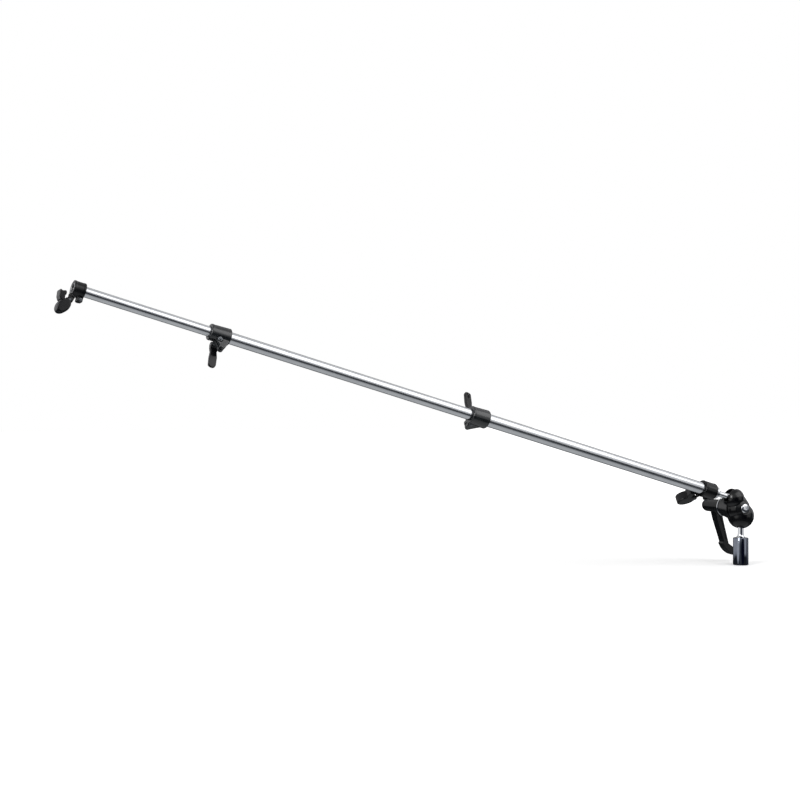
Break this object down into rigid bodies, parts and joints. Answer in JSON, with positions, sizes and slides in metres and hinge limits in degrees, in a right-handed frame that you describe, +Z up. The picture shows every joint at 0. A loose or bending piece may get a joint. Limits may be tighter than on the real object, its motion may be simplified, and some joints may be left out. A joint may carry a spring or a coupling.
{
  "type": "reflector holder arm",
  "caption": "Telescopic tube arm on a ball clamp head with a stud socket, lever tube locks and a sprung rim clip at each end.",
  "frame": {"origin": "centre of the spigot socket's mouth", "axes": "+Z up the socket's bore, the arm reaches towards -X and rises 15.6 degrees, the clamp bolt runs along Y with its button head at -Y"},
  "size_m": [1.3303, 0.1207, 0.4825],
  "materials": {
    "anodised_aluminium": "satin anodised",
    "chrome": "bright plated",
    "black_gloss": "glossy black",
    "black_plastic": "moulded satin",
    "zinc_steel": "zinc plated",
    "brass": "machined",
    "rubber": "matt",
    "nylon": "natural"
  },
  "bodies": {
    "base": {"spigot_socket": "black_gloss", "lower_stud": "chrome"},
    "side_screw": {"socket_screw": "black_plastic"},
    "lower_ball": {"lower_ball": "chrome"},
    "housing": {"housing_front": "black_gloss", "housing_back": "black_gloss", "clamp_bolt": "chrome", "housing_spring": "zinc_steel"},
    "clamp_nut": {"clamp_washer": "chrome", "lever_insert": "brass", "lever_screw": "zinc_steel", "lever_spring": "zinc_steel"},
    "clamp_lever": {"lever_handle": "black_plastic", "lever_cap": "black_plastic"},
    "upper_ball": {"upper_ball": "chrome"},
    "arm": {"upper_stud": "chrome", "end_plug": "anodised_aluminium", "outer_tube": "anodised_aluminium", "outer_lock_collar": "black_plastic", "outer_lock_nut": "zinc_steel", "outer_lock_bolt": "zinc_steel", "outer_lock_washer": "zinc_steel", "outer_lock_pin": "zinc_steel", "near_clip_collar": "black_plastic", "near_clip_screw": "zinc_steel", "near_clip_nut": "zinc_steel", "near_clip_pad": "rubber", "near_clip_pin": "zinc_steel", "near_clip_spring": "zinc_steel"},
    "outer_lever": {"outer_lock_lever": "black_plastic"},
    "near_jaw": {"near_clip_jaw": "black_plastic", "near_clip_jaw_pad": "rubber"},
    "middle_section": {"middle_bush": "nylon", "middle_tube": "anodised_aluminium", "middle_lock_collar": "black_plastic", "middle_lock_nut": "zinc_steel", "middle_lock_bolt": "zinc_steel", "middle_lock_washer": "zinc_steel", "middle_lock_pin": "zinc_steel"},
    "middle_lever": {"middle_lock_lever": "black_plastic"},
    "inner_section": {"inner_bush": "nylon", "inner_tube": "anodised_aluminium", "tip_plug": "black_plastic", "far_clip_collar": "black_plastic", "far_clip_screw": "zinc_steel", "far_clip_nut": "zinc_steel", "far_clip_pad": "rubber", "far_clip_pin": "zinc_steel", "far_clip_spring": "zinc_steel"},
    "far_jaw": {"far_clip_jaw": "black_plastic", "far_clip_jaw_pad": "rubber"}
  },
  "joints": [
    {"name": "side_screw_turn", "type": "hinge", "parent": "base", "child": "side_screw", "pos_m": [0, 0, 0.017], "axis": [0.6428, 0.766, 0], "continuous": true},
    {"name": "head_pan", "type": "hinge", "parent": "base", "child": "lower_ball", "pos_m": [0, 0, 0.0914], "axis": [0, 0, 1], "continuous": true},
    {"name": "head_tilt", "type": "hinge", "parent": "lower_ball", "child": "housing", "pos_m": [0, 0, 0.0914], "axis": [0, 1, 0], "range_deg": [-10, 62]},
    {"name": "arm_tilt", "type": "hinge", "parent": "housing", "child": "upper_ball", "pos_m": [-0.01634, 0, 0.12348], "axis": [0, 1, 0], "range_deg": [-10, 95]},
    {"name": "arm_roll", "type": "hinge", "parent": "upper_ball", "child": "arm", "pos_m": [-0.01634, 0, 0.12348], "axis": [-0.9632, 0, 0.2689], "continuous": true},
    {"name": "clamp_turn", "type": "hinge", "parent": "housing", "child": "clamp_nut", "pos_m": [-0.00749, 0, 0.1061], "axis": [0, 1, 0], "range_deg": [0, 180]},
    {"name": "lever_lift", "type": "slide", "parent": "clamp_nut", "child": "clamp_lever", "axis": [0, 1, 0], "range_m": [0, 0.004], "stiffness_N_per_m": 800, "springref_m": -0.004, "deforming": ["lever_spring"]},
    {"name": "outer_lever_swing", "type": "hinge", "parent": "arm", "child": "outer_lever", "pos_m": [-0.57341, 0.01989, 0.28134], "axis": [0.9632, 0, -0.2689], "range_deg": [-90, 0]},
    {"name": "near_jaw_swing", "type": "hinge", "parent": "arm", "child": "near_jaw", "pos_m": [-0.09754, 0.01708, 0.13126], "axis": [-0.206, -0.6428, -0.7378], "range_deg": [0, 35], "stiffness_Nm_per_rad": 0.3, "springref_deg": -28.65, "deforming": ["near_clip_spring"]},
    {"name": "middle_slide", "type": "slide", "parent": "arm", "child": "middle_section", "axis": [-0.9632, 0, 0.2689], "range_m": [-0.44, 0.02]},
    {"name": "middle_lever_swing", "type": "hinge", "parent": "middle_section", "child": "middle_lever", "pos_m": [-1.03778, 0.00641, 0.39008], "axis": [0.9632, 0, -0.2689], "range_deg": [0, 90]},
    {"name": "inner_slide", "type": "slide", "parent": "middle_section", "child": "inner_section", "axis": [-0.9632, 0, 0.2689], "range_m": [-0.197, 0.22]},
    {"name": "far_jaw_swing", "type": "hinge", "parent": "inner_section", "child": "far_jaw", "pos_m": [-1.26736, -0.00202, 0.45284], "axis": [0.0281, -0.9945, 0.1007], "range_deg": [0, 35], "stiffness_Nm_per_rad": 0.3, "springref_deg": -28.65, "deforming": ["far_clip_spring"]}
  ]
}
